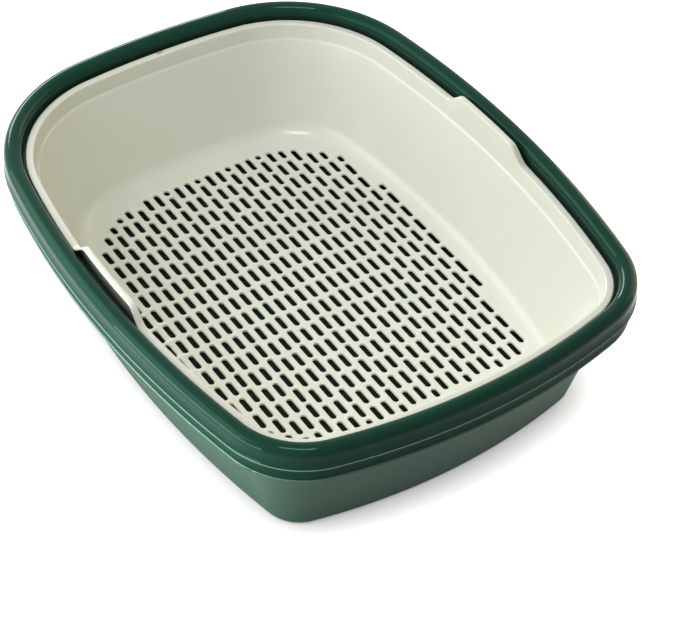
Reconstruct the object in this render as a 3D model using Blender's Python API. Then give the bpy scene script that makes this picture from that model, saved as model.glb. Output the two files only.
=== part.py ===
"""A sifting litter box: a base pan, a second pan nested in it, and a slotted tray that lifts out.

Units are metres. X runs across the box, +Y towards the wide-cornered far end, +Z up.
The origin is under the middle of the box, on the surface that it stands on.

Every piece is a moulded shell. Its section is a closed line of points (inset, height), where
inset is the distance inwards from the outline of the rim's foot. The section is swept round
that outline, and the two floors close it.
"""

import math

import bmesh
import bpy

# Plan of the rim's foot: four bulged edges joined by round corners, wider at the far end
LENGTH = 0.506
WIDTH = 0.4036
SIDE_BULGE_RADIUS = 0.871
NEAR_BULGE_RADIUS = 0.551
FAR_BULGE_RADIUS = 0.736
NEAR_CORNER_RADIUS = 0.0733
FAR_CORNER_RADIUS = 0.1296
TIGHTEST_CORNER_RADIUS = 0.002

# Heights that the nested stack takes
RIM_TOP_HEIGHT = 0.1277
NEST_STEP = 0.015

# Shared moulding sizes
PAN_WALL = 0.0020
PAN_FLOOR = 0.0020
FOOT_RADIUS = 0.006
ROLL_RADIUS = 0.0074
SKIRT_DROP = 0.0116
SKIRT_FLARE = 0.00085
SEAT_GAP = 0.0003

# The base pan's rim tucks in behind the upper pan's skirt
BASE_RIM_INSET = 0.0029
BASE_SKIRT_DROP = 0.0112
BASE_WALL_RUN = 0.0255

# The upper pan nests in the base pan and carries the tray on a ledge
NEST_CLEARANCE = 0.00045
LEDGE_DEPTH = 0.0134
LEDGE_WIDTH = 0.0058
ROLL_FLANK_RUN = 0.0005

# The slotted tray
TRAY_WALL = 0.0020
TRAY_FLOOR = 0.0020
TRAY_FLOOR_GAP = 0.0050
TRAY_CLEARANCE = 0.0009
FLANGE_GAP = 0.0024
FLANGE_THICKNESS = 0.0024
WALL_STEP_DROP = 0.0108
WALL_STEP_WIDTH = 0.0016
WALL_STEP_HEIGHT = 0.0020
FLOOR_FILLET_RADIUS = 0.010
FLAT_FLOOR_INSET = 0.0645
FLOOR_END_LEAN = 0.0080

# Two raised grips, one in the middle of each long side
GRIP_RISE = 0.0124
GRIP_HALF_LENGTH = 0.034
GRIP_RAMP = 0.019

# A small locating slot in the middle of the far flange
RIM_SLOT_LENGTH = 0.006
RIM_SLOT_WIDTH = 0.0016

# The slotted floor: columns run along the box, and each third column is staggered
COLUMN_PITCH = 0.01035
COLUMN_BRIDGE = 0.0053
ROW_PITCH = 0.0203
ROW_BRIDGE = 0.0039
SHORTEST_SLOT = 0.005
COLUMN_COUNT = 26
STAGGER_CYCLE = 3
EASED_COLUMNS_REACH = 0.075
FIELD_SIDE_INSET = 0.0661
FIELD_FAR_MARGIN = 0.0868
FIELD_NEAR_MARGIN = 0.0950
FIELD_FAR_CORNER_RADIUS = 0.085

# How finely the outline and the sections are divided
SIDE_STEPS = 4
CORNER_STEPS = 6
END_STEPS = 3
RAMP_STEPS = 4
ROLL_STEPS = 6
ROLL_INSIDE_STEPS = 3
FOOT_STEPS = 2
FOOT_INSIDE_STEPS = 2
FILLET_STEPS = 3
CUT_OVERRUN = 0.001

GREEN_LINEAR = (0.028, 0.092, 0.066, 1.0)
CREAM_LINEAR = (0.75, 0.76, 0.64, 1.0)


def clear_scene():
    """Remove whatever the file holds, so that the model starts from nothing."""
    for item in list(bpy.data.objects):
        bpy.data.objects.remove(item, do_unlink=True)


def make_plastic(name, color, roughness):
    """Return a moulded-plastic material."""
    material = bpy.data.materials.new(name)
    material.use_nodes = True
    shader = material.node_tree.nodes["Principled BSDF"]
    shader.inputs["Base Color"].default_value = color
    shader.inputs["Roughness"].default_value = roughness
    shader.inputs["Metallic"].default_value = 0.0
    return material


def arc_points(centre, radius, start, end, steps):
    """Return points on an arc, the first included and the last left out."""
    turn = (end - start) / steps
    angles = [start + turn * i for i in range(steps)]
    return [(centre[0] + radius * math.cos(a), centre[1] + radius * math.sin(a)) for a in angles]


def corner_centre(side_centre, side_radius, end_centre, end_radius):
    """Return where two circles cross in the first quadrant: the centre of the corner between them."""
    dx = end_centre[0] - side_centre[0]
    dy = end_centre[1] - side_centre[1]
    gap = math.hypot(dx, dy)
    along = (gap * gap + side_radius * side_radius - end_radius * end_radius) / (2 * gap)
    across = math.sqrt(max(side_radius * side_radius - along * along, 0.0))
    unit = (dx / gap, dy / gap)
    middle = (side_centre[0] + unit[0] * along, side_centre[1] + unit[1] * along)
    return (middle[0] - unit[1] * across, middle[1] + unit[0] * across)


def side_angles(radius, end_angle, stations):
    """Return angles along a long side, from its middle to its corner, with a point at each station."""
    marks = [math.asin(min(y / radius, 1.0)) for y in stations]
    marks = [a for a in marks if a < end_angle]
    last = marks[-1] if marks else 0.0
    rest = SIDE_STEPS if not stations else SIDE_STEPS - 1
    spread = [last + (end_angle - last) * i / rest for i in range(1, rest)]
    return [0.0] + marks + spread


def quarter_outline(inset, end_radius, corner_radius, stations, end_lean):
    """Return the outline from the middle of the +X side to the middle of the +Y end, last point left out."""
    half_width = WIDTH / 2 - inset
    half_length = LENGTH / 2 - inset - end_lean
    side = SIDE_BULGE_RADIUS - inset
    end = end_radius - inset
    corner = max(corner_radius - inset, TIGHTEST_CORNER_RADIUS)
    side_centre = (half_width - side, 0.0)
    end_centre = (0.0, half_length - end)
    centre = corner_centre(side_centre, side - corner, end_centre, end - corner)
    start = math.atan2(centre[1] - side_centre[1], centre[0] - side_centre[0])
    stop = math.atan2(centre[1] - end_centre[1], centre[0] - end_centre[0])
    angles = side_angles(side, start, stations)
    points = [(side_centre[0] + side * math.cos(a), side * math.sin(a)) for a in angles]
    points += arc_points(centre, corner, start, stop, CORNER_STEPS)
    points += arc_points(end_centre, end, stop, math.pi / 2, END_STEPS)
    return points


def outline(inset, stations=(), end_lean=0.0):
    """Return the closed outline at an inset, anticlockwise from the middle of the +X side.

    end_lean is how much further in the two ends lie than the long sides.
    """
    far = quarter_outline(inset, FAR_BULGE_RADIUS, FAR_CORNER_RADIUS, stations, end_lean)
    near = quarter_outline(inset, NEAR_BULGE_RADIUS, NEAR_CORNER_RADIUS, stations, end_lean)
    end_middle = LENGTH / 2 - inset - end_lean
    far_left = [(-x, y) for x, y in reversed(far)]
    near_left = [(-x, -y) for x, y in near[1:]]
    near_right = [(x, -y) for x, y in reversed(near[1:])]
    top = far + [(0.0, end_middle)] + far_left
    bottom = near_left + [(0.0, -end_middle)] + near_right
    return top + bottom


def arc_section(centre, radius, start_degrees, end_degrees, steps):
    """Return section points (inset, height) on an arc, both ends included.

    Angles are measured from the outward side, so 0 faces out of the box and 90 faces up.
    """
    points = []
    for i in range(steps + 1):
        angle = math.radians(start_degrees + (end_degrees - start_degrees) * i / steps)
        points.append((centre[0] - radius * math.cos(angle), centre[1] + radius * math.sin(angle)))
    return points


def sweep_section(name, section, material, stations=(), lift=None, lean=None, strips=()):
    """Sweep a section round the outline and close its two ends with flat floors.

    The section runs from the edge of the underside, up the outside, over the rim and down the
    inside to the edge of the floor. lift gives an extra height for a point of the section, lean
    how much further in the two ends lie at a height, and strips are the places across the box
    where the two floors are divided into long faces.
    """
    mesh = bmesh.new()
    rings = []
    for inset, height in section:
        ring = []
        end_lean = lean(height) if lean else 0.0
        for x, y in outline(inset, stations, end_lean):
            rise = lift(inset, height, x, y) if lift else 0.0
            ring.append(mesh.verts.new((x, y, height + rise)))
        rings.append(ring)
    for lower, upper in zip(rings, rings[1:]):
        count = len(lower)
        for i in range(count):
            j = (i + 1) % count
            mesh.faces.new((lower[i], lower[j], upper[j], upper[i]))
    floors = [mesh.faces.new(list(reversed(rings[0]))), mesh.faces.new(rings[-1])]
    for floor in floors:
        divide_floor(mesh, floor, strips)
    return finish_mesh(name, mesh, material)


def divide_floor(mesh, floor, strips):
    """Divide a flat floor along lines that run the length of the box."""
    pieces = [floor]
    for x in strips:
        geometry = pieces + list({edge for face in pieces for edge in face.edges})
        geometry += list({vert for face in pieces for vert in face.verts})
        found = bmesh.ops.bisect_plane(mesh, geom=geometry, plane_co=(x, 0.0, 0.0), plane_no=(1.0, 0.0, 0.0))
        pieces = [item for item in found["geom"] if isinstance(item, bmesh.types.BMFace)]


def finish_mesh(name, mesh, material):
    """Store a bmesh as a named object with its normals facing out."""
    bmesh.ops.recalc_face_normals(mesh, faces=mesh.faces)
    data = bpy.data.meshes.new(name)
    mesh.to_mesh(data)
    mesh.free()
    data.materials.append(material)
    item = bpy.data.objects.new(name, data)
    bpy.context.collection.objects.link(item)
    return item


def shade(item):
    """Shade the round forms smooth and keep the real edges sharp."""
    item.data.shade_smooth()
    item.data.set_sharp_from_angle(angle=math.radians(35))


def base_roll_centre():
    """Return the centre of the base pan's rolled rim, which the upper pan's ledge sits on."""
    inset = BASE_RIM_INSET + SKIRT_FLARE + ROLL_RADIUS
    flank = ledge_outer_inset() - PAN_WALL
    shoulder = math.sqrt(max(ROLL_RADIUS ** 2 - (flank - inset) ** 2, 0.0))
    return (inset, ledge_height() - PAN_WALL - SEAT_GAP - shoulder)


def upper_roll_centre():
    """Return the centre of the upper pan's rolled rim."""
    return (SKIRT_FLARE + ROLL_RADIUS, RIM_TOP_HEIGHT - ROLL_RADIUS)


def ledge_height():
    """Return the height of the ledge that carries the tray's flange."""
    return RIM_TOP_HEIGHT - LEDGE_DEPTH


def ledge_outer_inset():
    """Return the inset of the foot of the roll's inner flank, where the ledge starts."""
    return upper_roll_centre()[0] + ROLL_RADIUS + ROLL_FLANK_RUN


def ledge_inner_inset():
    """Return the inset of the ledge's inner edge, where the upper pan's wall starts."""
    return ledge_outer_inset() + LEDGE_WIDTH


def base_wall_inset(height):
    """Return the inset of the base pan's inner wall at a height."""
    centre = base_roll_centre()
    top_inset = centre[0] + ROLL_RADIUS
    return top_inset + BASE_WALL_RUN * (centre[1] - height) / centre[1]


def upper_wall_inset(height):
    """Return the inset of the upper pan's inner wall at a height: it fits in the base pan below."""
    foot = base_wall_inset(NEST_STEP) + NEST_CLEARANCE + PAN_WALL
    share = (ledge_height() - height) / (ledge_height() - NEST_STEP)
    return ledge_inner_inset() + (foot - ledge_inner_inset()) * share


def foot_rounding(wall_inset, floor_height):
    """Return the outer foot of a pan, from its flat underside up to its wall."""
    centre = (wall_inset + FOOT_RADIUS, floor_height + FOOT_RADIUS)
    return arc_section(centre, FOOT_RADIUS, -90, 0, FOOT_STEPS)


def inner_foot(wall_inset, floor_height):
    """Return the inner foot of a pan, from its wall down to its flat floor."""
    radius = FOOT_RADIUS - PAN_WALL
    centre = (wall_inset + radius, floor_height + radius)
    return arc_section(centre, radius, 0, -90, FOOT_INSIDE_STEPS)


def base_pan_section():
    """Return the base pan's section."""
    centre = base_roll_centre()
    skirt_foot = centre[1] - BASE_SKIRT_DROP
    inner_radius = ROLL_RADIUS - PAN_WALL
    section = foot_rounding(base_wall_inset(0.0) - PAN_WALL, 0.0)
    section.append((centre[0] + inner_radius, centre[1]))
    section += arc_section(centre, inner_radius, 180, 0, ROLL_INSIDE_STEPS)[1:]
    section.append((BASE_RIM_INSET + PAN_WALL, skirt_foot))
    section.append((BASE_RIM_INSET, skirt_foot))
    section += arc_section(centre, ROLL_RADIUS, 0, 180, ROLL_STEPS)
    section += inner_foot(base_wall_inset(PAN_FLOOR + FOOT_RADIUS), PAN_FLOOR)
    return section


def upper_pan_section():
    """Return the upper pan's section: a roll, a ledge for the tray and a wall that nests."""
    centre = upper_roll_centre()
    skirt_foot = centre[1] - SKIRT_DROP
    inner_radius = ROLL_RADIUS - PAN_WALL
    ledge = ledge_height()
    section = foot_rounding(upper_wall_inset(NEST_STEP) - PAN_WALL, NEST_STEP)
    section.append((ledge_inner_inset() - PAN_WALL, ledge - PAN_WALL))
    section.append((ledge_outer_inset() - PAN_WALL, ledge - PAN_WALL))
    section += arc_section(centre, inner_radius, 180, 0, ROLL_INSIDE_STEPS)
    section.append((PAN_WALL, skirt_foot))
    section.append((0.0, skirt_foot))
    section += arc_section(centre, ROLL_RADIUS, 0, 180, ROLL_STEPS)
    section.append((ledge_outer_inset(), ledge))
    section.append((ledge_inner_inset(), ledge))
    floor = NEST_STEP + PAN_FLOOR
    section += inner_foot(upper_wall_inset(floor + FOOT_RADIUS), floor)
    return section


def tray_floor_height():
    """Return the height of the top of the slotted floor."""
    return NEST_STEP + PAN_FLOOR + TRAY_FLOOR_GAP + TRAY_FLOOR


def tray_flange_height():
    """Return the height of the flange's underside, just over the ledge."""
    return ledge_height() + SEAT_GAP


def tray_flange_inset():
    """Return the inset of the flange's outer edge."""
    return ledge_outer_inset() + FLANGE_GAP


def step_top():
    """Return the height where the step in the tray's wall starts, below the flange."""
    return tray_flange_height() - WALL_STEP_DROP


def step_foot():
    """Return the height where the step in the tray's wall ends."""
    return step_top() - WALL_STEP_HEIGHT


def tray_band_inset(height):
    """Return the inset of the tray's outer wall above its step: it fits in the upper pan's wall."""
    return upper_wall_inset(height) + TRAY_CLEARANCE


def tray_end_lean(height):
    """Return how much further in the tray's ends lie at a height: they slope more than its sides."""
    floor = tray_floor_height()
    share = (step_foot() - height) / (step_foot() - floor)
    return FLOOR_END_LEAN * min(max(share, 0.0), 1.0)


def tangent_degrees(centre, radius, point):
    """Return the angle on an arc where a straight wall down from a point runs into it smoothly."""
    outwards = centre[0] - point[0]
    upwards = point[1] - centre[1]
    swing = math.acos(radius / math.hypot(outwards, upwards))
    return math.degrees(math.atan2(upwards, outwards) - swing)


def tray_section():
    """Return the tray's section: flange, stepped wall, and a fillet into the slotted floor."""
    flange = tray_flange_height()
    centre = (FLAT_FLOOR_INSET, tray_floor_height() + FLOOR_FILLET_RADIUS)
    outer_radius = FLOOR_FILLET_RADIUS + TRAY_FLOOR
    outer_foot = (tray_band_inset(step_foot()) + WALL_STEP_WIDTH, step_foot())
    inner_foot_inset = outer_foot[0] + TRAY_WALL
    outer_turn = tangent_degrees(centre, outer_radius, outer_foot)
    inner_turn = tangent_degrees(centre, FLOOR_FILLET_RADIUS, (inner_foot_inset, step_foot()))
    section = arc_section(centre, outer_radius, -90, outer_turn, FILLET_STEPS)
    section.append(outer_foot)
    section.append((tray_band_inset(step_top()), step_top()))
    section.append((tray_band_inset(flange), flange))
    section.append((tray_flange_inset(), flange))
    section.append((tray_flange_inset(), flange + FLANGE_THICKNESS))
    section.append((tray_band_inset(flange) + TRAY_WALL, flange + FLANGE_THICKNESS))
    section.append((tray_band_inset(step_top()) + TRAY_WALL, step_top()))
    section.append((inner_foot_inset, step_foot()))
    section += arc_section(centre, FLOOR_FILLET_RADIUS, inner_turn, -90, FILLET_STEPS)
    return section


def grip_stations():
    """Return the places along a long side where the raised grip needs points."""
    ramp = [GRIP_HALF_LENGTH + GRIP_RAMP * i / RAMP_STEPS for i in range(RAMP_STEPS + 1)]
    return ramp


def grip_rise(inset, height, x, y):
    """Return how far a point of the tray's section is raised to form a grip."""
    if height < tray_flange_height():
        return 0.0
    if abs(x) < WIDTH / 4:
        return 0.0
    share = (GRIP_HALF_LENGTH + GRIP_RAMP - abs(y)) / GRIP_RAMP
    share = min(max(share, 0.0), 1.0)
    return GRIP_RISE * share * share * (3 - 2 * share)


def column_place(column):
    """Return a slot column's place across the box."""
    return (column - (COLUMN_COUNT - 1) / 2) * COLUMN_PITCH


def stagger_share(column, y):
    """Return how far a column's rows are pushed along, in half row pitches.

    Each third column is staggered by half a pitch at both ends. Near the +X side it keeps that
    all the way. Elsewhere its rows stand a little closer, so it is level with its neighbours in
    the middle of the box.
    """
    if column % STAGGER_CYCLE:
        return 0.0
    if column_place(column) > EASED_COLUMNS_REACH:
        return 1.0
    half_field = (LENGTH - FIELD_FAR_MARGIN - FIELD_NEAR_MARGIN) / 2
    middle = (FIELD_NEAR_MARGIN - FIELD_FAR_MARGIN) / 2
    return min(max((y - middle) / half_field, -1.0), 1.0)


def field_span(reach):
    """Return the near and far ends of the slotted field, for a slot whose outer edge is at reach."""
    side_radius = SIDE_BULGE_RADIUS - FIELD_SIDE_INSET
    half_width = WIDTH / 2 - FIELD_SIDE_INSET
    to_side = side_radius - max(half_width - reach, 0.0)
    half_span = math.sqrt(side_radius ** 2 - to_side ** 2)
    far = LENGTH / 2 - FIELD_FAR_MARGIN
    near = LENGTH / 2 - FIELD_NEAR_MARGIN
    past = max(reach - (half_width - FIELD_FAR_CORNER_RADIUS), 0.0)
    drop = math.sqrt(max(FIELD_FAR_CORNER_RADIUS ** 2 - past ** 2, 0.0))
    far = far - FIELD_FAR_CORNER_RADIUS + drop
    return (-min(near, half_span), min(far, half_span))


def column_slots(column):
    """Return the slots of one column as (near end, far end) pairs."""
    width = COLUMN_PITCH - COLUMN_BRIDGE
    length = ROW_PITCH - ROW_BRIDGE
    near, far = field_span(abs(column_place(column)) + width / 2)
    first = LENGTH / 2 - FIELD_FAR_MARGIN - length / 2
    slots = []
    for row in range(-1, int(LENGTH / ROW_PITCH)):
        level = first - row * ROW_PITCH
        centre = level - stagger_share(column, level) * ROW_PITCH / 2
        low = max(centre - length / 2, near)
        high = min(centre + length / 2, far)
        if high - low >= SHORTEST_SLOT:
            slots.append((low, high))
    return slots


def slot_cutter():
    """Return one object that holds a cutter for every slot of the floor."""
    mesh = bmesh.new()
    top = tray_floor_height() + CUT_OVERRUN
    bottom = tray_floor_height() - TRAY_FLOOR - CUT_OVERRUN
    half_width = (COLUMN_PITCH - COLUMN_BRIDGE) / 2
    for column in range(COLUMN_COUNT):
        x = column_place(column)
        for low, high in column_slots(column):
            add_block(mesh, (x - half_width, low, bottom), (x + half_width, high, top))
    return hide_cutter(finish_mesh("slot_cutter", mesh, make_plastic("guide", GREEN_LINEAR, 1.0)))


def rim_slot_cutter():
    """Return the cutter of the small slot in the far flange."""
    mesh = bmesh.new()
    flange = tray_flange_height()
    outer = LENGTH / 2 - tray_flange_inset()
    inner = LENGTH / 2 - tray_band_inset(flange)
    middle = (outer + inner) / 2
    low = (-RIM_SLOT_LENGTH / 2, middle - RIM_SLOT_WIDTH / 2, flange - CUT_OVERRUN)
    high = (RIM_SLOT_LENGTH / 2, middle + RIM_SLOT_WIDTH / 2, flange + FLANGE_THICKNESS + CUT_OVERRUN)
    add_block(mesh, low, high)
    return hide_cutter(finish_mesh("rim_slot_cutter", mesh, make_plastic("guide", GREEN_LINEAR, 1.0)))


def add_block(mesh, low, high):
    """Add a box to a bmesh, given its lowest and highest corners."""
    corners = [(x, y, z) for x in (low[0], high[0]) for y in (low[1], high[1]) for z in (low[2], high[2])]
    verts = [mesh.verts.new(corner) for corner in corners]
    for face in ((0, 1, 3, 2), (4, 6, 7, 5), (0, 4, 5, 1), (2, 3, 7, 6), (0, 2, 6, 4), (1, 5, 7, 3)):
        mesh.faces.new([verts[i] for i in face])


def hide_cutter(item):
    """Keep a cutter out of renders and show it as a wire."""
    item.hide_render = True
    item.display_type = "WIRE"
    return item


def cut(item, cutter):
    """Cut one object with another, exactly."""
    modifier = item.modifiers.new("Cut " + cutter.name, "BOOLEAN")
    modifier.operation = "DIFFERENCE"
    modifier.solver = "EXACT"
    modifier.object = cutter


def build_tray(material):
    """Build the slotted tray."""
    between = [(column - COLUMN_COUNT / 2) * COLUMN_PITCH for column in range(COLUMN_COUNT + 1)]
    section = tray_section()
    tray = sweep_section("sifter_tray", section, material, grip_stations(), grip_rise, tray_end_lean, between)
    cut(tray, slot_cutter())
    cut(tray, rim_slot_cutter())
    return tray


def main():
    """Build the three pieces of the box."""
    clear_scene()
    green = make_plastic("green_polypropylene", GREEN_LINEAR, 0.25)
    cream = make_plastic("cream_polypropylene", CREAM_LINEAR, 0.3)
    base = sweep_section("base_pan", base_pan_section(), green)
    upper = sweep_section("upper_pan", upper_pan_section(), green)
    tray = build_tray(cream)
    for item in (base, upper, tray):
        shade(item)


main()
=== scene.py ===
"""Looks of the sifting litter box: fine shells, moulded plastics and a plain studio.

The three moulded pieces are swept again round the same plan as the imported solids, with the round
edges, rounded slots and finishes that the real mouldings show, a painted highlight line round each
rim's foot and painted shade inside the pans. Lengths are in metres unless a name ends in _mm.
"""

import logging
import math
from collections.abc import Sequence
from dataclasses import dataclass, field
from enum import Enum

import bmesh
import bpy
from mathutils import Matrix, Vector


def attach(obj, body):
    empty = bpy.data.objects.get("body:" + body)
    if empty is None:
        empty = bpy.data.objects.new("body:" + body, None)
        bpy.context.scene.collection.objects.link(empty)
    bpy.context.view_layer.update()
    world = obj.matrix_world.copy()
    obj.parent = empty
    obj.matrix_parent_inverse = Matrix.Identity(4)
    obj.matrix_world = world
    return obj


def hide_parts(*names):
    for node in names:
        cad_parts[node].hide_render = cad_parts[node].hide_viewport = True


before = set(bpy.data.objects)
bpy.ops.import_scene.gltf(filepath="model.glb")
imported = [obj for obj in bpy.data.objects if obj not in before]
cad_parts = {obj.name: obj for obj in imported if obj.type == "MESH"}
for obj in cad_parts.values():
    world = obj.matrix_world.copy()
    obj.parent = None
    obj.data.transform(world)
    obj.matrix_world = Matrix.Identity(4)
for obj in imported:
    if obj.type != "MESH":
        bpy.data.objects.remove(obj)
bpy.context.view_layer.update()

LOG = logging.getLogger("litter_box")
MM = 0.001
WHITE = (1.0, 1.0, 1.0, 1.0)
POLYPROPYLENE_IOR = 1.49
NOISE_DETAIL = 2.0

# Levels of the grain's noise between which specks come in, and between which the gloss turns
SPECK_LEVELS = (0.62, 0.78)
GLOSS_LEVELS = (0.3, 0.7)

# Where the Mix node has its sockets, because it repeats their names for each kind of data
MIX_SHARE = 0
MIX_NUMBERS = (2, 3)
MIX_COLOURS = (6, 7)
MIX_COLOUR_OUT = 2

Point = tuple[float, float]
Place = tuple[float, float, float]
Colour = tuple[float, ...]


def linear_colour(sheet_colour: str) -> Colour:
    """Turn an sRGB hex colour into the linear values that shaders use.

    Args:
        sheet_colour: The colour as "#rrggbb".

    Returns:
        Red, green, blue and an alpha of one.
    """
    channels = []
    for start in (1, 3, 5):
        value = int(sheet_colour[start : start + 2], 16) / 255
        # The sRGB curve is a short straight foot and then a power
        channels.append(value / 12.92 if value <= 0.04045 else ((value + 0.055) / 1.055) ** 2.4)
    return (*channels, 1.0)


def add_node(
    tree: bpy.types.NodeTree, kind: str, inputs: dict | Sequence = (), **settings: object
) -> bpy.types.Node:
    """Add a node to a tree, with its settings, values and links.

    Args:
        tree: The shader or geometry tree.
        kind: The node's type name.
        inputs: What goes into the inputs, in order, or in a dict by name or number: a socket,
            a node whose first output is meant, or a value.
        **settings: Properties of the node.

    Returns:
        The new node.
    """
    node = tree.nodes.new(kind)
    for name, value in settings.items():
        setattr(node, name, value)
    pairs = inputs.items() if isinstance(inputs, dict) else enumerate(inputs)
    for key, value in pairs:
        if isinstance(value, bpy.types.Node):
            value = value.outputs[0]
        if isinstance(value, bpy.types.NodeSocket):
            tree.links.new(value, node.inputs[key])
        else:
            node.inputs[key].default_value = value
    return node


class Surface(Enum):
    """The finishes that a moulding's surface is divided into, in the order of its materials."""

    POLISHED = 0
    SATIN = 1
    # Painted highlight: the pale line painted round the foot of each rim
    PAINTED_HIGHLIGHT = 2
    # Painted shade: the darker green painted inside the pans
    SHADED = 3


# A point of a moulding's section: inset, height and the finish of the face that starts there
SectionPoint = tuple[float, float, Surface]


@dataclass(frozen=True)
class MouldedPlastic:
    """Injection-moulded polypropylene: a slightly waxy plastic whose gloss comes from the tool.

    The surface is never quite flat: long waves from shrinkage bend the reflections, and a fine
    grain from the tool softens them. Real tool grain is about 0.1 mm, too fine to show here, so
    it is drawn about ten times as coarse.
    """

    name: str
    colour: str
    cloud_colour: str
    speck_colour: str
    roughness: float
    roughness_spread: float
    cloud_mm: float
    wave_height_mm: float
    grain_mm: float
    grain_height_mm: float
    speck_share: float
    gloss_level: float
    gloss_tint: str = "#ffffff"

    def material(self) -> bpy.types.Material:
        """Build the node material of this plastic.

        Returns:
            The material: clouded and speckled colour, and a gloss that waves and grain disturb.
        """
        made = bpy.data.materials.new(self.name)
        made.use_nodes = True
        tree = made.node_tree
        place = add_node(tree, "ShaderNodeTexCoord").outputs["Object"]
        cloud, grain = (
            add_node(
                tree,
                "ShaderNodeTexNoise",
                {"Vector": place, "Scale": 1 / (size_mm * MM), "Detail": NOISE_DETAIL},
            )
            for size_mm in (self.cloud_mm, self.grain_mm)
        )
        speck = add_node(tree, "ShaderNodeMapRange", (grain, *SPECK_LEVELS, 0.0, self.speck_share))
        base, added = MIX_COLOURS
        colour = linear_colour(self.colour)
        for share, tint in ((cloud, self.cloud_colour), (speck, self.speck_colour)):
            mixed = {MIX_SHARE: share, base: colour, added: linear_colour(tint)}
            mix = add_node(tree, "ShaderNodeMix", mixed, data_type="RGBA")
            colour = mix.outputs[MIX_COLOUR_OUT]
        dullest = self.roughness + self.roughness_spread
        shiniest = self.roughness - self.roughness_spread
        gloss = add_node(tree, "ShaderNodeMapRange", (grain, *GLOSS_LEVELS, shiniest, dullest))
        waves = add_node(
            tree,
            "ShaderNodeBump",
            {"Height": cloud, "Distance": self.wave_height_mm * MM, "Strength": 1.0},
        )
        texture = add_node(
            tree,
            "ShaderNodeBump",
            {
                "Height": grain,
                "Distance": self.grain_height_mm * MM,
                "Strength": 1.0,
                "Normal": waves,
            },
        )
        shader = tree.nodes["Principled BSDF"]
        tree.links.new(colour, shader.inputs["Base Color"])
        tree.links.new(gloss.outputs["Result"], shader.inputs["Roughness"])
        tree.links.new(texture.outputs["Normal"], shader.inputs["Normal"])
        shader.inputs["IOR"].default_value = POLYPROPYLENE_IOR
        shader.inputs["Specular IOR Level"].default_value = self.gloss_level
        shader.inputs["Specular Tint"].default_value = linear_colour(self.gloss_tint)
        return made


# Polished tool steel gives the rims a wet gloss that mirrors the studio in a deep green
GREEN_POLISHED = MouldedPlastic(
    "green_polypropylene_polished",
    colour="#183e2f",
    cloud_colour="#163a2c",
    speck_colour="#1d4536",
    roughness=0.06,
    roughness_spread=0.01,
    cloud_mm=60.0,
    wave_height_mm=0.05,
    grain_mm=1.4,
    grain_height_mm=0.002,
    speck_share=0.3,
    gloss_level=0.16,
    gloss_tint="#a4e4d6",
)
# Painted highlight: a fine pale line round the foot of each rim, where its edge catches light
GREEN_PAINTED_HIGHLIGHT = MouldedPlastic(
    "green_polypropylene_painted_highlight_line",
    colour="#6f9483",
    cloud_colour="#698d7c",
    speck_colour="#7a9e8e",
    roughness=0.35,
    roughness_spread=0.03,
    cloud_mm=40.0,
    wave_height_mm=0.02,
    grain_mm=1.1,
    grain_height_mm=0.004,
    speck_share=0.4,
    gloss_level=0.3,
)
# The body's tool is spark-eroded, so the same green looks paler and dull there
GREEN_SATIN = MouldedPlastic(
    "green_polypropylene_satin",
    colour="#315442",
    cloud_colour="#2f5140",
    speck_colour="#3b5f4c",
    roughness=0.55,
    roughness_spread=0.05,
    cloud_mm=80.0,
    wave_height_mm=0.05,
    grain_mm=1.1,
    grain_height_mm=0.02,
    speck_share=0.4,
    gloss_level=0.2,
)
# Painted shade: inside the pans the same green is dull from the tool and painted darker for the
# shade it lies in, so that it reads nearly black
GREEN_SHADED = MouldedPlastic(
    "green_polypropylene_inside_painted_shade",
    colour="#11291f",
    cloud_colour="#10261d",
    speck_colour="#152f25",
    roughness=0.5,
    roughness_spread=0.05,
    cloud_mm=60.0,
    wave_height_mm=0.05,
    grain_mm=1.1,
    grain_height_mm=0.01,
    speck_share=0.3,
    gloss_level=0.15,
)
# A pale pigment in the same plastic: bright, a little waxy, with a soft sheen
CREAM_GLOSS = MouldedPlastic(
    "cream_polypropylene",
    colour="#e2e4d8",
    cloud_colour="#dee0d3",
    speck_colour="#d0d1c2",
    roughness=0.2,
    roughness_spread=0.03,
    cloud_mm=45.0,
    wave_height_mm=0.08,
    grain_mm=1.3,
    grain_height_mm=0.006,
    speck_share=0.5,
    gloss_level=0.34,
)


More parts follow.
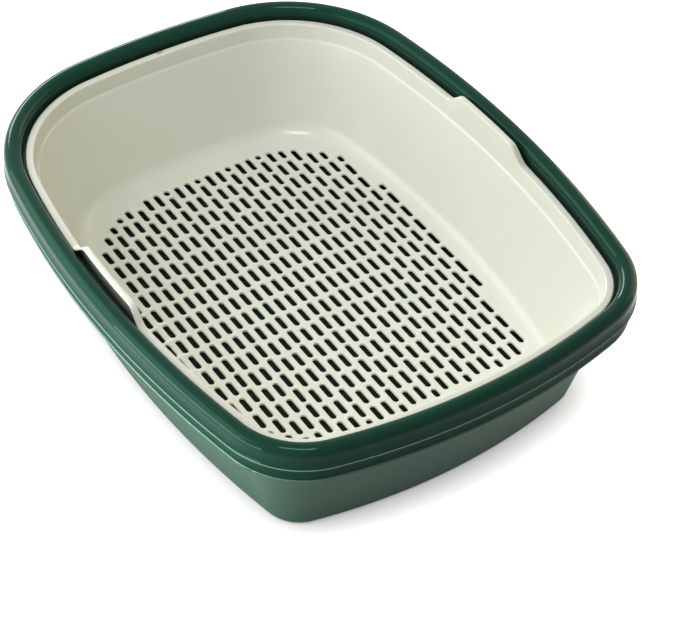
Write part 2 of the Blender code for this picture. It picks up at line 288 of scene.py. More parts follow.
@dataclass(frozen=True)
class Plan:
    """The plan of the rim's foot: four bulged edges and round corners, wider at the far end."""

    length: float = 0.506
    width: float = 0.4036
    side_bulge: float = 0.871
    near_bulge: float = 0.551
    far_bulge: float = 0.736
    near_corner: float = 0.0733
    far_corner: float = 0.1296
    tightest_corner: float = 0.002
    side_steps: int = 60
    corner_steps: int = 24
    end_steps: int = 12

    def quarter(
        self, inset: float, end_bulge: float, corner_radius: float, end_lean: float
    ) -> list[Point]:
        """Return the plan from the middle of the +X side to the middle of the +Y end.

        Args:
            inset: How far inside the rim's foot the line runs.
            end_bulge: The bulge radius of this quarter's end.
            corner_radius: The radius of this quarter's corner.
            end_lean: How much further in the end lies than the side.

        Returns:
            The points, without the last.
        """
        side = self.side_bulge - inset
        end = end_bulge - inset
        corner = max(corner_radius - inset, self.tightest_corner)
        side_centre = Vector((self.width / 2 - self.side_bulge, 0.0))
        end_centre = Vector((0.0, self.length / 2 - end_bulge - end_lean))
        apart = end_centre - side_centre
        gap = apart.length
        side_reach = side - corner
        end_reach = end - corner
        along = (gap * gap + side_reach**2 - end_reach**2) / (2 * gap)
        across = math.sqrt(max(side_reach**2 - along**2, 0.0))
        unit = apart / gap
        centre = side_centre + unit * along + Vector((-unit.y, unit.x)) * across
        start = math.atan2(centre.y - side_centre.y, centre.x - side_centre.x)
        stop = math.atan2(centre.y - end_centre.y, centre.x - end_centre.x)
        spans = (
            (side_centre, side, 0.0, start, self.side_steps),
            (centre, corner, start, stop, self.corner_steps),
            (end_centre, end, stop, math.pi / 2, self.end_steps),
        )
        points = []
        for middle, radius, first, last, steps in spans:
            for i in range(steps):
                angle = first + (last - first) * i / steps
                x = middle.x + radius * math.cos(angle)
                y = middle.y + radius * math.sin(angle)
                points.append((x, y))
        return points

    def ring(self, inset: float, end_lean: float) -> list[Point]:
        """Return the closed plan at an inset.

        Args:
            inset: How far inside the rim's foot the line runs.
            end_lean: How much further in the two ends lie than the long sides.

        Returns:
            The points, anticlockwise from the middle of the +X side.
        """
        far = self.quarter(inset, self.far_bulge, self.far_corner, end_lean)
        near = self.quarter(inset, self.near_bulge, self.near_corner, end_lean)
        end = self.length / 2 - inset - end_lean
        far_left = [(-x, y) for x, y in reversed(far)]
        near_left = [(-x, -y) for x, y in near[1:]]
        near_right = [(x, -y) for x, y in reversed(near[1:])]
        return far + [(0.0, end)] + far_left + near_left + [(0.0, -end)] + near_right


@dataclass(frozen=True)
class Corner:
    """A corner of a moulding's section, rounded by a radius, with the finish from here on."""

    inset: float
    height: float
    radius: float = 0.0
    surface: Surface = Surface.POLISHED
    steps: int = 1

    def vector(self) -> Vector:
        """Return the corner as a vector (inset, height)."""
        return Vector((self.inset, self.height))

    def rounded(self, before: "Corner", after: "Corner") -> list[SectionPoint]:
        """Round the corner between its two neighbours.

        Args:
            before: The corner that comes before this one.
            after: The corner that comes after it.

        Returns:
            The points of the arc, or the corner itself where it has no radius.
        """
        if self.radius == 0.0:
            return [(self.inset, self.height, self.surface)]
        back = (before.vector() - self.vector()).normalized()
        onward = (after.vector() - self.vector()).normalized()
        half_opening = back.angle(onward) / 2
        reach = self.radius / math.tan(half_opening)
        first = self.vector() + back * reach
        last = self.vector() + onward * reach
        inwards = (back + onward).normalized()
        centre = self.vector() + inwards * (self.radius / math.sin(half_opening))
        start = first - centre
        turn = start.angle_signed(last - centre)
        points = []
        for i in range(self.steps + 1):
            angle = -turn * i / self.steps
            across = start.x * math.cos(angle) - start.y * math.sin(angle)
            up = start.x * math.sin(angle) + start.y * math.cos(angle)
            points.append((centre.x + across, centre.y + up, self.surface))
        return points


def rounded_section(corners: Sequence[Corner]) -> list[SectionPoint]:
    """Round the corners of an open section line.

    Args:
        corners: The corners in order; the first and the last stay as they are.

    Returns:
        The points of the line.
    """
    first, last = corners[0], corners[-1]
    line = [(first.inset, first.height, first.surface)]
    for before, corner, after in zip(corners, corners[1:], corners[2:]):
        line += corner.rounded(before, after)
    return line + [(last.inset, last.height, last.surface)]


@dataclass
class Shell:
    """A thin moulding: a section swept round the plan and closed by two flat floors."""

    name: str
    body: str
    slot: str
    finishes: tuple[MouldedPlastic, ...]
    plan: Plan = field(default_factory=Plan)

    def corners(self) -> list[Corner]:
        """Return the section's corners, from the underside round the rim to the floor."""
        raise NotImplementedError

    def place(self, inset: float, height: float, x: float, y: float) -> Place:
        """Return where a point of the section lies, at an inset that meets the plan at x and y."""
        return (x, y, height)

    def end_lean(self, height: float) -> float:
        """Return how much further in the two ends lie than the long sides at a height."""
        return 0.0

    def finish(self, piece: bpy.types.Object) -> None:
        """Change the swept piece where the moulding needs more than its section."""

    def sweep(self) -> bpy.types.Object:
        """Sweep the section round the plan.

        Returns:
            The shell as a mesh object with smooth walls and flat floors.
        """
        mesh = bmesh.new()
        section = rounded_section(self.corners())
        rings = []
        for inset, height, _ in section:
            ring = self.plan.ring(inset, self.end_lean(height))
            rings.append([mesh.verts.new(self.place(inset, height, x, y)) for x, y in ring])
        for (lower, upper), (_, _, surface) in zip(zip(rings, rings[1:]), section):
            for i, corner in enumerate(lower):
                j = (i + 1) % len(lower)
                face = mesh.faces.new((corner, lower[j], upper[j], upper[i]))
                face.smooth = True
                face.material_index = surface.value
        underside, floor = rings[0][::-1], rings[-1]
        for ring, (_, _, surface) in ((underside, section[0]), (floor, section[-1])):
            face = mesh.faces.new(ring)
            face.material_index = surface.value
        bmesh.ops.recalc_face_normals(mesh, faces=mesh.faces)
        data = bpy.data.meshes.new(self.name)
        mesh.to_mesh(data)
        mesh.free()
        piece = bpy.data.objects.new(self.name, data)
        bpy.context.scene.collection.objects.link(piece)
        return piece

    def dress(self, piece: bpy.types.Object) -> None:
        """Give the piece its materials.

        Args:
            piece: The swept piece.
        """
        for finish in self.finishes:
            found = bpy.data.materials.get(finish.name)
            piece.data.materials.append(found or finish.material())

    def build(self) -> None:
        """Build the piece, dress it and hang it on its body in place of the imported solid."""
        piece = self.sweep()
        self.dress(piece)
        self.finish(piece)
        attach(piece, self.body)
        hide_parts(self.name.removesuffix("_moulding"))
        LOG.info("%s: %d faces on body %s", piece.name, len(piece.data.polygons), self.body)


@dataclass(kw_only=True)
class GreenPan(Shell):
    """What the two solid pans share: their plastic, a rolled rim over a skirt, and a round foot."""

    slot: str = "green_plastic"
    finishes: tuple[MouldedPlastic, ...] = (
        GREEN_POLISHED,
        GREEN_SATIN,
        GREEN_PAINTED_HIGHLIGHT,
        GREEN_SHADED,
    )
    wall: float = 0.002
    rim_inset: float
    rim_top: float
    roll_radius: float
    roll_inner_radius: float
    roll_steps: int = 14
    skirt_foot: float
    skirt_flare: float
    edge_radius: float = 0.0006
    edge_steps: int = 4
    bead_height: float = 0.0006
    bead_width: float
    flank_inset: float
    underside: float
    foot_inset: float
    foot_radius: float = 0.006
    floor_edge_inset: float
    floor_run: float = 0.03
    bend_steps: int = 8

    def under_ledge(self) -> list[Corner]:
        """Return the outer wall's corners between the foot and the rim."""
        return []

    def inner_flank(self) -> list[Corner]:
        """Return the inner wall's corners between the rim and the floor."""
        raise NotImplementedError

    def corners(self) -> list[Corner]:
        """Work out the pan's section.

        Returns:
            The corners, from the underside round the skirt and the rim to the floor.
        """
        satin, shaded = Surface.SATIN, Surface.SHADED
        wall, inner_roll, bend = self.wall, self.roll_inner_radius, self.bend_steps
        edge, edge_steps = self.edge_radius, self.edge_steps
        floor = self.underside + wall
        under_rim = self.rim_top - wall
        skirt_top = self.rim_inset + self.skirt_flare
        bead_top = self.skirt_foot + self.bead_height
        return [
            Corner(self.foot_inset + self.floor_run, self.underside, surface=satin),
            Corner(self.foot_inset - wall, self.underside, self.foot_radius, satin, bend),
            *self.under_ledge(),
            Corner(self.flank_inset - wall, under_rim, inner_roll, satin, bend),
            Corner(skirt_top + wall, under_rim, inner_roll, satin, bend),
            Corner(self.rim_inset + wall, self.skirt_foot, edge, satin, edge_steps),
            Corner(self.rim_inset, self.skirt_foot, edge, steps=edge_steps),
            # The bead's slope carries the painted highlight, a pale line round the rim's foot
            Corner(self.rim_inset, bead_top, surface=Surface.PAINTED_HIGHLIGHT),
            Corner(self.rim_inset + self.bead_width, bead_top + self.bead_width),
            Corner(skirt_top, self.rim_top, self.roll_radius, steps=self.roll_steps),
            Corner(self.flank_inset, self.rim_top, self.roll_radius, steps=self.roll_steps),
            # From the inner flank down, the inside carries the painted shade
            *self.inner_flank(),
            Corner(self.floor_edge_inset, floor, self.foot_radius - wall, shaded, bend),
            Corner(self.floor_edge_inset + self.floor_run, floor, surface=shaded),
        ]


@dataclass
class BasePan(GreenPan):
    """The pan that stands on the floor; the upper pan's skirt covers the top of its rim."""

    name: str = "base_pan_moulding"
    body: str = "base"
    rim_inset: float = 0.0029
    rim_top: float = 0.11264
    roll_radius: float = 0.0071
    roll_inner_radius: float = 0.0054
    skirt_foot: float = 0.09404
    skirt_flare: float = 0.00115
    bead_width: float = 0.0008
    flank_inset: float = 0.0172
    underside: float = 0.0
    foot_inset: float = 0.04405
    floor_edge_inset: float = 0.04356
    polish_drop: float = 0.0106

    def inner_flank(self) -> list[Corner]:
        """Work out where the rim's polish ends on the inner wall.

        Returns:
            That corner alone.
        """
        depth = self.rim_top - self.underside - self.wall
        slope = (self.floor_edge_inset - self.flank_inset) / depth
        inset = self.flank_inset + slope * self.polish_drop
        # Painted shade: below this corner the inner wall takes the darker inside green
        return [Corner(inset, self.rim_top - self.polish_drop, surface=Surface.SHADED)]


@dataclass
class UpperPan(GreenPan):
    """The pan nested in the base pan, with a ledge inside its rolled rim for the tray."""

    name: str = "upper_pan_moulding"
    body: str = "upper"
    rim_inset: float = 0.0
    rim_top: float = 0.1277
    roll_radius: float = 0.0068
    roll_inner_radius: float = 0.0053
    skirt_foot: float = 0.1087
    skirt_flare: float = 0.0014
    bead_width: float = 0.0005
    flank_inset: float = 0.01505
    polish_end: Point = (0.0156, 0.1190)
    ledge_height: float = 0.1143
    ledge_outer: float = 0.01615
    ledge_inner: float = 0.02195
    ledge_radius: float = 0.001
    ledge_root_radius: float = 0.0008
    underside: float = 0.015
    foot_inset: float = 0.0429
    floor_edge_inset: float = 0.04245

    def under_ledge(self) -> list[Corner]:
        """Work out the ledge's underside.

        Returns:
            Its inner corner and its outer one.
        """
        satin, radius, steps = Surface.SATIN, self.ledge_radius, self.edge_steps
        height = self.ledge_height - self.wall
        edges = (self.ledge_inner - self.wall, self.ledge_outer - self.wall)
        return [Corner(inset, height, radius, satin, steps) for inset in edges]

    def inner_flank(self) -> list[Corner]:
        """Work out the inner wall down to the ledge.

        Returns:
            The corner where the rim's polish ends, and the ledge's outer and inner corners.
        """
        shaded, height, steps = Surface.SHADED, self.ledge_height, self.edge_steps
        return [
            # Painted shade: from here the flank, the ledge and the floor take the darker inside
            # green
            Corner(*self.polish_end, surface=shaded),
            Corner(self.ledge_outer, height, self.ledge_root_radius, shaded, steps),
            Corner(self.ledge_inner, height, self.ledge_radius, shaded, steps),
        ]


@dataclass(frozen=True)
class SlotField:
    """The rule that the slots of the tray's floor follow.

    Columns of slots run along the tray. Each third column is staggered by half a pitch at both
    ends, keeps that near the +X side, and elsewhere is level with its neighbours half way along.
    The grid has spare rows beyond the far end, which the staggered columns draw on.
    """

    column_pitch: float = 0.01035
    row_pitch: float = 0.0203
    slot_width: float = 0.0053
    slot_length: float = 0.0164
    shortest: float = 0.005
    columns: int = 26
    rows: int = 18
    spare_rows: int = 1
    stagger_cycle: int = 3
    eased_reach: float = 0.075
    side_inset: float = 0.0661
    far_margin: float = 0.0868
    near_margin: float = 0.0950
    far_corner: float = 0.085
    edge_radius: float = 0.0007
    cutter_sides: int = 14
    cutter_rings: int = 5
    cutter_flare: float = 0.25
    cutter_stretch: float = 8.0
    rim_slot_size: Place = (0.006, 0.0016, 0.010)

    def sizes(self, tray: "SifterTray") -> dict[str, float]:
        """Work out what the tree is given.

        Args:
            tray: The tray whose floor is slotted.

        Returns:
            The tree's named inputs.
        """
        far_end = tray.plan.length / 2 - self.far_margin
        half_width = tray.plan.width / 2 - self.side_inset
        first_row = far_end - self.slot_length / 2
        rows_to_middle = self.spare_rows - (self.rows - 1) / 2
        flange_middle = (tray.flange_outer + tray.wall_top_inset) / 2
        return {
            "Column Pitch": self.column_pitch,
            "Row Pitch": self.row_pitch,
            "Slot Width": self.slot_width,
            "Slot Length": self.slot_length,
            "Shortest Slot": self.shortest,
            "Edge Radius": self.edge_radius,
            "Floor Top": tray.floor_top,
            "Floor Thickness": tray.wall,
            "Grid Middle": first_row + self.row_pitch * rows_to_middle,
            "Far End": far_end,
            "Near End": self.near_margin - tray.plan.length / 2,
            "Half Width": half_width,
            "Side Bulge Diameter": 2 * (tray.plan.side_bulge - self.side_inset),
            "Far Corner": self.far_corner,
            "Far Corner Start": half_width - self.far_corner,
            "Far Corner Middle": far_end - self.far_corner,
            "Eased Reach": self.eased_reach,
            "Rim Slot Middle": tray.plan.length / 2 - flange_middle,
            "Rim Slot Height": tray.flange_height,
        }

    def tree(self, tray: "SifterTray", finish: bpy.types.Material) -> bpy.types.NodeTree:
        """Build the tree that cuts the slots.

        Args:
            tray: The tray whose floor is slotted.
            finish: The tray's material.

        Returns:
            A geometry tree that takes the uncut tray and gives the slotted one.
        """
        tree = bpy.data.node_groups.new("slotted_floor", "GeometryNodeTree")
        tree.interface.new_socket("Geometry", in_out="INPUT", socket_type="NodeSocketGeometry")
        for name, value in self.sizes(tray).items():
            socket = tree.interface.new_socket(name, in_out="INPUT", socket_type="NodeSocketFloat")
            socket.default_value = value
        tree.interface.new_socket("Geometry", in_out="OUTPUT", socket_type="NodeSocketGeometry")
        given = add_node(tree, "NodeGroupInput").outputs
        points = self.slot_points(tree, given)
        cutters = self.stretched_cutters(tree, given, points, self.drum(tree, given))
        block = add_node(tree, "GeometryNodeMeshCube", {"Size": self.rim_slot_size})
        middle = {"Y": given["Rim Slot Middle"], "Z": given["Rim Slot Height"]}
        flange = add_node(tree, "ShaderNodeCombineXYZ", middle)
        moved = {"Geometry": block, "Translation": flange}
        rim_cutter = add_node(tree, "GeometryNodeTransform", moved)
        tools = add_node(tree, "GeometryNodeJoinGeometry", {"Geometry": cutters})
        tree.links.new(rim_cutter.outputs[0], tools.inputs[0])
        cut = add_node(
            tree,
            "GeometryNodeMeshBoolean",
            {"Mesh 1": given["Geometry"], "Mesh 2": tools},
            operation="DIFFERENCE",
            solver="MANIFOLD",
        )
        real = add_node(tree, "GeometryNodeRealizeInstances", {"Geometry": cut})
        dressed = add_node(tree, "GeometryNodeSetMaterial", {"Geometry": real, "Material": finish})
        add_node(tree, "NodeGroupOutput", {"Geometry": dressed})
        return tree

    def slot_points(self, tree: bpy.types.NodeTree, given: bpy.types.NodeOutputs) -> bpy.types.Node:
        """Add the nodes that place one point a slot and store its length.

        Args:
            tree: The geometry tree.
            given: The tree's named inputs.

        Returns:
            The node that gives the points, with attributes slot_length and slot_kept.
        """
        math_kind = "ShaderNodeMath"
        pitch, row_pitch = given["Column Pitch"], given["Row Pitch"]
        size_x = add_node(tree, math_kind, (pitch, self.columns - 1), operation="MULTIPLY")
        size_y = add_node(tree, math_kind, (row_pitch, self.rows - 1), operation="MULTIPLY")
        grid = add_node(tree, "GeometryNodeMeshGrid", (size_x, size_y, self.columns, self.rows))
        position = add_node(tree, "GeometryNodeInputPosition")
        x, y, _ = add_node(tree, "ShaderNodeSeparateXYZ", (position,)).outputs
        level = add_node(tree, math_kind, (y, given["Grid Middle"]), operation="ADD")

        # Which columns are staggered, and by how much at each row
        ratio = add_node(tree, math_kind, (x, pitch), operation="DIVIDE")
        number = add_node(tree, math_kind, (ratio, (self.columns - 1) / 2), operation="ADD")
        column = add_node(tree, math_kind, (number,), operation="ROUND")
        phase = add_node(tree, math_kind, (column, self.stagger_cycle), operation="MODULO")
        third = add_node(tree, math_kind, (phase, 0.5), operation="LESS_THAN")
        ends = (given["Near End"], given["Far End"])
        eased = add_node(tree, "ShaderNodeMapRange", (level, *ends, -1.0, 1.0))
        beyond = add_node(tree, math_kind, (x, given["Eased Reach"]), operation="GREATER_THAN")
        near_middle, near_side = MIX_NUMBERS
        shares = {MIX_SHARE: beyond, near_middle: eased, near_side: 1.0}
        share = add_node(tree, "ShaderNodeMix", shares, data_type="FLOAT")
        push = add_node(tree, math_kind, (share, third), operation="MULTIPLY")
        half_back = add_node(tree, math_kind, (row_pitch, -0.5), operation="MULTIPLY")
        centre = add_node(tree, math_kind, (push, half_back, level), operation="MULTIPLY_ADD")

        # How far the field reaches at this column: inside the bulged sides and round far corners
        across = add_node(tree, math_kind, (x,), operation="ABSOLUTE")
        outer_edge = (given["Slot Width"], 0.5, across)
        reach = add_node(tree, math_kind, outer_edge, operation="MULTIPLY_ADD")
        room = add_node(tree, math_kind, (given["Half Width"], reach), operation="SUBTRACT")
        inside = add_node(tree, math_kind, (room, 0.0), operation="MAXIMUM")
        chord = (given["Side Bulge Diameter"], inside)
        rest = add_node(tree, math_kind, chord, operation="SUBTRACT")
        squared = add_node(tree, math_kind, (inside, rest), operation="MULTIPLY")
        half_span = add_node(tree, math_kind, (squared,), operation="SQRT")
        past = add_node(tree, math_kind, (reach, given["Far Corner Start"]), operation="SUBTRACT")
        radii = (past, given["Far Corner"])
        sine = add_node(tree, math_kind, radii, operation="DIVIDE", use_clamp=True)
        angle = add_node(tree, math_kind, (sine,), operation="ARCSINE")
        drop = add_node(tree, math_kind, (angle,), operation="COSINE")
        corner = (drop, given["Far Corner"], given["Far Corner Middle"])
        rounded = add_node(tree, math_kind, corner, operation="MULTIPLY_ADD")
        far = add_node(tree, math_kind, (rounded, half_span), operation="MINIMUM")
        half_span_back = add_node(tree, math_kind, (half_span, -1.0), operation="MULTIPLY")
        near = add_node(tree, math_kind, (given["Near End"], half_span_back), operation="MAXIMUM")

        # Where the slot starts and ends, and whether enough of it is left
        half = add_node(tree, math_kind, (given["Slot Length"], 0.5), operation="MULTIPLY")
        wanted_low = add_node(tree, math_kind, (centre, half), operation="SUBTRACT")
        wanted_high = add_node(tree, math_kind, (centre, half), operation="ADD")
        low = add_node(tree, math_kind, (wanted_low, near), operation="MAXIMUM")
        high = add_node(tree, math_kind, (wanted_high, far), operation="MINIMUM")
        length = add_node(tree, math_kind, (high, low), operation="SUBTRACT")
        both = add_node(tree, math_kind, (high, low), operation="ADD")
        middle = add_node(tree, math_kind, (both, 0.5), operation="MULTIPLY")
        enough = (length, given["Shortest Slot"])
        kept = add_node(tree, math_kind, enough, operation="GREATER_THAN")
        points = grid
        for name, value in (("slot_length", length), ("slot_kept", kept)):
            points = add_node(
                tree,
                "GeometryNodeStoreNamedAttribute",
                {"Geometry": points, "Name": name, "Value": value},
                data_type="FLOAT",
                domain="POINT",
            )
        where = add_node(tree, "ShaderNodeCombineXYZ", (x, middle, given["Floor Top"]))
        return add_node(tree, "GeometryNodeSetPosition", {"Geometry": points, "Position": where})

    def drum(self, tree: bpy.types.NodeTree, given: bpy.types.NodeOutputs) -> bpy.types.Node:
        """Add the nodes that shape a round cutter, whose middle rings flare to round a slot's edge.

        The drum starts one unit high. The rings up to cutter_flare from its middle follow the
        edge's arc, and the first and the last are drawn out clear of the floor.

        Args:
            tree: The geometry tree.
            given: The tree's named inputs.

        Returns:
            The node that gives the drum, with the attribute slot_end on its two halves.
        """
        math_kind = "ShaderNodeMath"
        cylinder = add_node(
            tree,
            "GeometryNodeMeshCylinder",
            {
                "Vertices": self.cutter_sides,
                "Side Segments": self.cutter_rings - 1,
                "Radius": 1.0,
                "Depth": 1.0,
            },
            fill_type="NGON",
        )
        half_step = (0.0, 0.0, math.pi / self.cutter_sides)
        aligned = {"Geometry": cylinder, "Rotation": half_step}
        turned = add_node(tree, "GeometryNodeTransform", aligned)
        position = add_node(tree, "GeometryNodeInputPosition")
        x, y, z = add_node(tree, "ShaderNodeSeparateXYZ", (position,)).outputs
        edge = given["Edge Radius"]
        flare = (z, -self.cutter_flare, self.cutter_flare)
        angle = add_node(tree, "ShaderNodeMapRange", (*flare, 0.0, math.pi / 2))
        cosine = add_node(tree, math_kind, (angle,), operation="COSINE")
        sine = add_node(tree, math_kind, (angle,), operation="SINE")
        spread = add_node(tree, math_kind, (1.0, cosine), operation="SUBTRACT")
        half_width = add_node(tree, math_kind, (given["Slot Width"], 0.5), operation="MULTIPLY")
        radius = add_node(tree, math_kind, (spread, edge, half_width), operation="MULTIPLY_ADD")
        below = add_node(tree, math_kind, (sine, 1.0), operation="SUBTRACT")
        rise = add_node(tree, math_kind, (below, edge), operation="MULTIPLY")
        held = add_node(tree, "ShaderNodeClamp", flare)
        end = add_node(tree, math_kind, (z, held), operation="SUBTRACT")
        stretch = (given["Floor Thickness"], self.cutter_stretch)
        run = add_node(tree, math_kind, stretch, operation="MULTIPLY")
        height = add_node(tree, math_kind, (end, run, rise), operation="MULTIPLY_ADD")
        wide = add_node(tree, math_kind, (x, radius), operation="MULTIPLY")
        deep = add_node(tree, math_kind, (y, radius), operation="MULTIPLY")
        halves = add_node(tree, math_kind, (y,), operation="SIGN")
        marked = add_node(
            tree,
            "GeometryNodeStoreNamedAttribute",
            {"Geometry": turned, "Name": "slot_end", "Value": halves},
            data_type="FLOAT",
            domain="POINT",
        )
        shape = add_node(tree, "ShaderNodeCombineXYZ", (wide, deep, height))
        return add_node(tree, "GeometryNodeSetPosition", {"Geometry": marked, "Position": shape})

    def stretched_cutters(
        self,
        tree: bpy.types.NodeTree,
        given: bpy.types.NodeOutputs,
        points: bpy.types.Node,
        drum: bpy.types.Node,
    ) -> bpy.types.Node:
        """Add the nodes that put a drum on each point and pull its halves apart along the slot.

        Args:
            tree: The geometry tree.
            given: The tree's named inputs.
            points: The node that gives the points.
            drum: The node that gives the drum.

        Returns:
            The node that gives the real cutters.
        """
        kept, end, length = (
            add_node(tree, "GeometryNodeInputNamedAttribute", {"Name": name}, data_type="FLOAT")
            for name in ("slot_kept", "slot_end", "slot_length")
        )
        sown = {"Points": points, "Selection": kept, "Instance": drum}
        placed = add_node(tree, "GeometryNodeInstanceOnPoints", sown)
        real = add_node(tree, "GeometryNodeRealizeInstances", {"Geometry": placed})
        math_kind = "ShaderNodeMath"
        spare = add_node(tree, math_kind, (length, given["Slot Width"]), operation="SUBTRACT")
        pull = add_node(tree, math_kind, (spare, 0.5), operation="MULTIPLY")
        shift = add_node(tree, math_kind, (pull, end), operation="MULTIPLY")
        along = add_node(tree, "ShaderNodeCombineXYZ", {"Y": shift})
        return add_node(tree, "GeometryNodeSetPosition", {"Geometry": real, "Offset": along})


@dataclass
class SifterTray(Shell):
    """The cream tray: a flange on the ledge, two raised grips and a slotted floor."""

    name: str = "sifter_tray_moulding"
    body: str = "sifter"
    slot: str = "cream_plastic"
    finishes: tuple[MouldedPlastic, ...] = (CREAM_GLOSS,)
    wall: float = 0.002
    flange_height: float = 0.1146
    flange: float = 0.0024
    flange_outer: float = 0.01855
    flange_root_radius: float = 0.0006
    flange_foot_radius: float = 0.0007
    flange_edge_radius: float = 0.0011
    flange_crest_radius: float = 0.0016
    crest_steps: int = 6
    wall_top_inset: float = 0.0228
    step_top: float = 0.1038
    step_foot: float = 0.1018
    step_width: float = 0.0012
    step_radius: float = 0.002
    step_inner_radius: float = 0.003
    hidden_steps: int = 3
    seen_steps: int = 5
    band_draft_share: float = 0.2107
    wall_draft_share: float = 0.3654
    floor_top: float = 0.024
    floor_run: float = 0.03
    fillet_radius: float = 0.016
    fillet_steps: int = 18
    hidden_fillet_steps: int = 16
    floor_end_lean: float = 0.008
    grip_rise: float = 0.0124
    grip_half_length: float = 0.034
    grip_ramp: float = 0.019
    grip_root: float = 0.001
    grip_outer_draw: float = 0.002
    grip_inner_draw: float = 0.0009
    slots: SlotField = field(default_factory=SlotField)

    def wall_inset(self, height: float) -> float:
        """Work out the inset of the wall's outer face, above its step or below it.

        Args:
            height: The height to look at.

        Returns:
            The inset there.
        """
        below = max(self.step_foot - height, 0.0)
        band = self.wall_top_inset + self.band_draft_share * (self.flange_height - height - below)
        stepped = self.step_width if height <= self.step_foot else 0.0
        return band + stepped + self.wall_draft_share * below

    def end_lean(self, height: float) -> float:
        """Return how much further in the tray's ends lie at a height, as they slope more."""
        share = (self.step_foot - height) / (self.step_foot - self.floor_top)
        return self.floor_end_lean * min(max(share, 0.0), 1.0)

    def corners(self) -> list[Corner]:
        """Work out the tray's section.

        Returns:
            The corners, from the floor's underside over the flange to the floor's top.
        """
        wall, hidden, seen = self.wall, self.hidden_steps, self.seen_steps
        underside = self.floor_top - wall
        top = self.flange_height + self.flange
        floor_edge = self.wall_inset(underside) + self.floor_run
        foot, inner_foot = self.wall_inset(underside), self.wall_inset(self.floor_top) + wall
        hidden_fillet = self.fillet_radius + wall
        crest, crest_radius = self.wall_top_inset + wall, self.flange_crest_radius
        step = [(self.wall_inset(height), height) for height in (self.step_foot, self.step_top)]
        outer_step = [
            Corner(inset, height, self.step_radius, steps=hidden) for inset, height in step
        ]
        inner_step = [
            Corner(inset + wall, height, self.step_inner_radius, steps=seen)
            for inset, height in reversed(step)
        ]
        return [
            Corner(floor_edge, underside),
            Corner(foot, underside, hidden_fillet, steps=self.hidden_fillet_steps),
            *outer_step,
            Corner(self.wall_top_inset, self.flange_height, self.flange_root_radius, steps=hidden),
            Corner(self.flange_outer, self.flange_height, self.flange_foot_radius, steps=hidden),
            Corner(self.flange_outer, top, self.flange_edge_radius, steps=seen),
            Corner(crest, top, crest_radius, steps=self.crest_steps),
            *inner_step,
            Corner(inner_foot, self.floor_top, self.fillet_radius, steps=self.fillet_steps),
            Corner(floor_edge, self.floor_top),
        ]

    def place(self, inset: float, height: float, x: float, y: float) -> Place:
        """Raise and narrow the flange and the wall's top in the middle of each long side.

        Args:
            inset: The inset of the section's point.
            height: Its height.
            x: Its place across the box.
            y: Its place along the box.

        Returns:
            The place of the point.
        """
        if height < self.flange_height - self.grip_root:
            return (x, y, height)
        share = (self.grip_half_length + self.grip_ramp - abs(y)) / self.grip_ramp
        share = min(max(share, 0.0), 1.0)
        grip = share * share * (3 - 2 * share)
        lip = self.wall_top_inset + self.wall - self.flange_outer
        across = min(max((inset - self.flange_outer) / lip, 0.0), 1.0)
        drawn_in = grip * (self.grip_outer_draw * (1 - across) - self.grip_inner_draw * across)
        return (x - math.copysign(drawn_in, x), y, height + self.grip_rise * grip)

    def finish(self, piece: bpy.types.Object) -> None:
        """Cut the slots by Geometry Nodes and keep the result as a plain mesh.

        Args:
            piece: The swept tray.
        """
        tree = self.slots.tree(self, piece.data.materials[0])
        modifier = piece.modifiers.new("slotted_floor", "NODES")
        modifier.node_group = tree
        for item in tree.interface.items_tree:
            if item.in_out == "INPUT" and item.socket_type == "NodeSocketFloat":
                modifier[item.identifier] = item.default_value
        graph = bpy.context.evaluated_depsgraph_get()
        data = bpy.data.meshes.new_from_object(piece.evaluated_get(graph), depsgraph=graph)
        piece.modifiers.clear()
        piece.data = data
        for name in ("slot_length", "slot_kept", "slot_end"):
            data.attributes.remove(data.attributes[name])


@dataclass(frozen=True)
class Softbox:
    """A soft lamp: a rectangle of light that hangs at a place and faces a point."""

    name: str
    place: Place
    aim: Place
    width: float
    height: float
    watts: float
    colour: Colour = (1.0, 1.0, 1.0)

    def build(self) -> None:
        """Add the lamp to the scene."""
        data = bpy.data.lights.new(self.name, "AREA")
        data.shape = "RECTANGLE"
        data.size = self.width
        data.size_y = self.height
        data.energy = self.watts
        data.color = self.colour
        lamp = bpy.data.objects.new(self.name, data)
        lamp.location = self.place
        gaze = Vector(self.aim) - Vector(self.place)
        lamp.rotation_euler = gaze.to_track_quat("-Z", "Y").to_euler()
        lamp.visible_camera = False
        bpy.context.scene.collection.objects.link(lamp)


# The light comes from the left: a wide key over the rim and a low strip level with it, which
# light the rim's outside more than the tray. A lamp at the far end and one overhead light the
# slotted floor, and a warm one lights the shaded wall on the left
SOFTBOXES = (
    Softbox(
        "key_softbox",
        place=(-0.68, 0.28, 0.48),
        aim=(-0.2, 0.0, 0.11),
        width=1.1,
        height=0.66,
        watts=6.5,
    ),
    Softbox(
        "side_strip",
        place=(-0.46, -0.08, 0.11),
        aim=(-0.2, -0.08, 0.11),
        width=0.44,
        height=0.1,
        watts=1.3,
    ),
    Softbox(
        "far_softbox",
        place=(0.25, 1.6, 0.75),
        aim=(0.0, 0.0, 0.1),
        width=1.0,
        height=0.4,
        watts=16.0,
    ),
    Softbox(
        "top_softbox",
        place=(-0.25, -0.30, 2.0),
        aim=(0.0, 0.0, 0.05),
        width=0.6,
        height=0.5,
        watts=14.0,
    ),
    Softbox(
        "warm_softbox",
        place=(1.2, 0.1, 0.5),
        aim=(-0.15, 0.05, 0.08),
        width=1.0,
        height=0.9,
        watts=4.4,
        colour=(1.0, 0.88, 0.4),
    ),
)


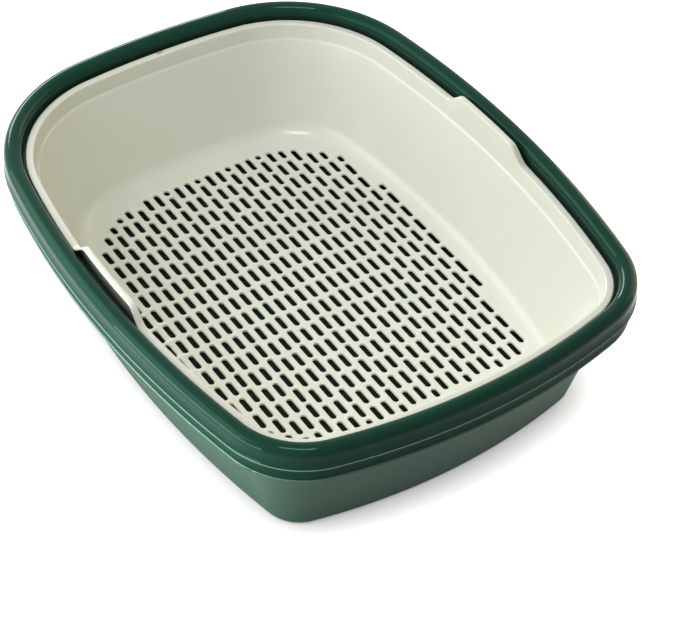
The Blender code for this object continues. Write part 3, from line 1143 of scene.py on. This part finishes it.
@dataclass
class Studio:
    """A plain pale floor, soft lamps and the photograph's camera."""

    floor_size: float = 8.0
    paper_colour: str = "#b4b4b4"
    floor_glow: float = 1.15
    shadow_reach: float = 0.032
    room_fill: float = 0.12
    camera_place: Place = (-0.683621, -1.018971, 1.209391)
    camera_degrees: Place = (45.28532, -1.88006, -33.43579)
    lens_mm: float = 109.059
    sensor_mm: float = 36.0

    def build(self) -> None:
        """Build the whole studio."""
        self.add_floor()
        self.add_world()
        for lamp in SOFTBOXES:
            lamp.build()
        self.add_camera()
        bpy.context.scene.view_settings.view_transform = "Standard"
        LOG.info("studio: floor, room, %d lamps and the camera", len(SOFTBOXES))

    def add_floor(self) -> None:
        """Add the floor, which reads as white and keeps the object's shadow."""
        mesh = bmesh.new()
        bmesh.ops.create_grid(mesh, x_segments=1, y_segments=1, size=self.floor_size / 2)
        data = bpy.data.meshes.new("studio_floor")
        mesh.to_mesh(data)
        mesh.free()
        floor = bpy.data.objects.new("studio_floor", data)
        bpy.context.scene.collection.objects.link(floor)
        floor.data.materials.append(self.floor_material())

    def seen_directly(self, tree: bpy.types.NodeTree) -> bpy.types.Node:
        """Tell the rays that the camera sees, straight or mirrored or through, from plain light.

        Args:
            tree: The tree of the floor or the room.

        Returns:
            A node that gives 1 for such a ray and 0 for the others.
        """
        path = add_node(tree, "ShaderNodeLightPath").outputs
        mirrored = (path["Is Glossy Ray"], path["Is Transmission Ray"])
        through = add_node(tree, "ShaderNodeMath", mirrored, operation="MAXIMUM")
        seen = (path["Is Camera Ray"], through)
        return add_node(tree, "ShaderNodeMath", seen, operation="MAXIMUM")

    def floor_material(self) -> bpy.types.Material:
        """Build a matt paper that is white for the camera, but for a soft shadow round the object.

        Returns:
            The material.
        """
        made = bpy.data.materials.new("studio_paper")
        made.use_nodes = True
        tree = made.node_tree
        tree.nodes.clear()
        grey = linear_colour(self.paper_colour)
        paper = add_node(tree, "ShaderNodeBsdfDiffuse", {"Color": grey})
        sky = add_node(tree, "ShaderNodeAmbientOcclusion", {"Distance": self.shadow_reach})
        full = (self.seen_directly(tree), self.floor_glow)
        bright = add_node(tree, "ShaderNodeMath", full, operation="MULTIPLY")
        shaded = (bright, sky.outputs["AO"])
        amount = add_node(tree, "ShaderNodeMath", shaded, operation="MULTIPLY")
        glow = add_node(tree, "ShaderNodeEmission", {"Color": WHITE, "Strength": amount})
        both = add_node(tree, "ShaderNodeAddShader", (paper, glow))
        add_node(tree, "ShaderNodeOutputMaterial", {"Surface": both})
        return made

    def add_world(self) -> None:
        """Add the room: white to the camera, a soft grey light on the object."""
        world = bpy.data.worlds.new("studio_room")
        world.use_nodes = True
        tree = world.node_tree
        tree.nodes.clear()
        fill, white = (
            add_node(tree, "ShaderNodeBackground", {"Color": WHITE, "Strength": strength})
            for strength in (self.room_fill, 1.0)
        )
        mixed = add_node(tree, "ShaderNodeMixShader", (self.seen_directly(tree), fill, white))
        add_node(tree, "ShaderNodeOutputWorld", {"Surface": mixed})
        bpy.context.scene.world = world

    def add_camera(self) -> None:
        """Add the camera at the photograph's place, turn and lens."""
        data = bpy.data.cameras.new("photo_camera")
        data.sensor_width = self.sensor_mm
        data.sensor_fit = "HORIZONTAL"
        data.lens = self.lens_mm
        camera = bpy.data.objects.new("photo_camera", data)
        camera.location = self.camera_place
        camera.rotation_euler = [math.radians(angle) for angle in self.camera_degrees]
        bpy.context.scene.collection.objects.link(camera)
        bpy.context.scene.camera = camera


def main() -> None:
    """Build the pieces in order, then the studio."""
    logging.basicConfig(level=logging.INFO, format="%(name)s: %(message)s")
    for shell in (BasePan(), UpperPan(), SifterTray()):
        shell.build()
    Studio().build()


if __name__ == "__main__":
    main()
